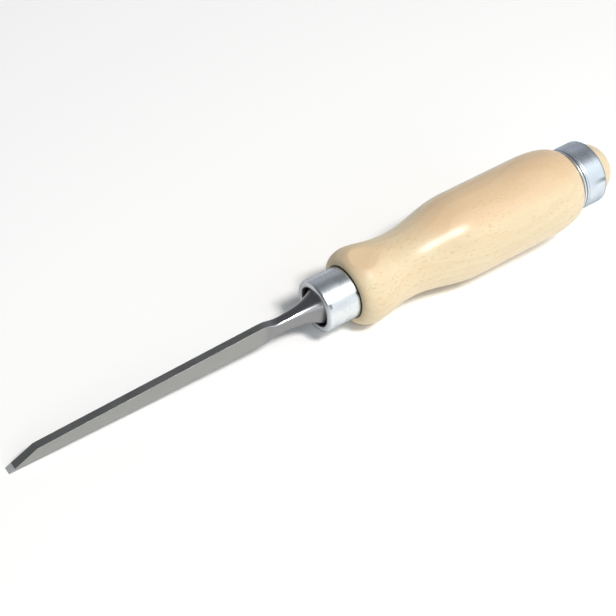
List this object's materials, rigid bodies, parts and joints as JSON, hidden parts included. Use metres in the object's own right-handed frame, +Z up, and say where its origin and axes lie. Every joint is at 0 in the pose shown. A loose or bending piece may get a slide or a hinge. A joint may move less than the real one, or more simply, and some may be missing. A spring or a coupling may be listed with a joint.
{
  "type": "wood chisel",
  "caption": "Narrow wood chisel: thick ground steel blade with a tang, turned beech handle with thumb flats, front ferrule and striking hoop; pushed or struck to cut narrow joints.",
  "frame": {"origin": "on the tool axis, in the plane of the handle's front shoulder, where the ferrule ends", "axes": "+X along the tool axis from the cutting edge to the butt, +Z up, on the side of the bevel, and the flat back faces -Z"},
  "size_m": [0.2643, 0.0342, 0.0342],
  "materials": {
    "ground_steel": "ground and oiled",
    "plated_ferrule": "bright zinc plate",
    "lacquered_beech": "clear gloss lacquer",
    "plated_hoop": "bright zinc plate"
  },
  "bodies": {
    "root": {"blade": "ground_steel", "front_ferrule": "plated_ferrule", "handle": "lacquered_beech", "striking_hoop": "plated_hoop"}
  },
  "joints": []
}
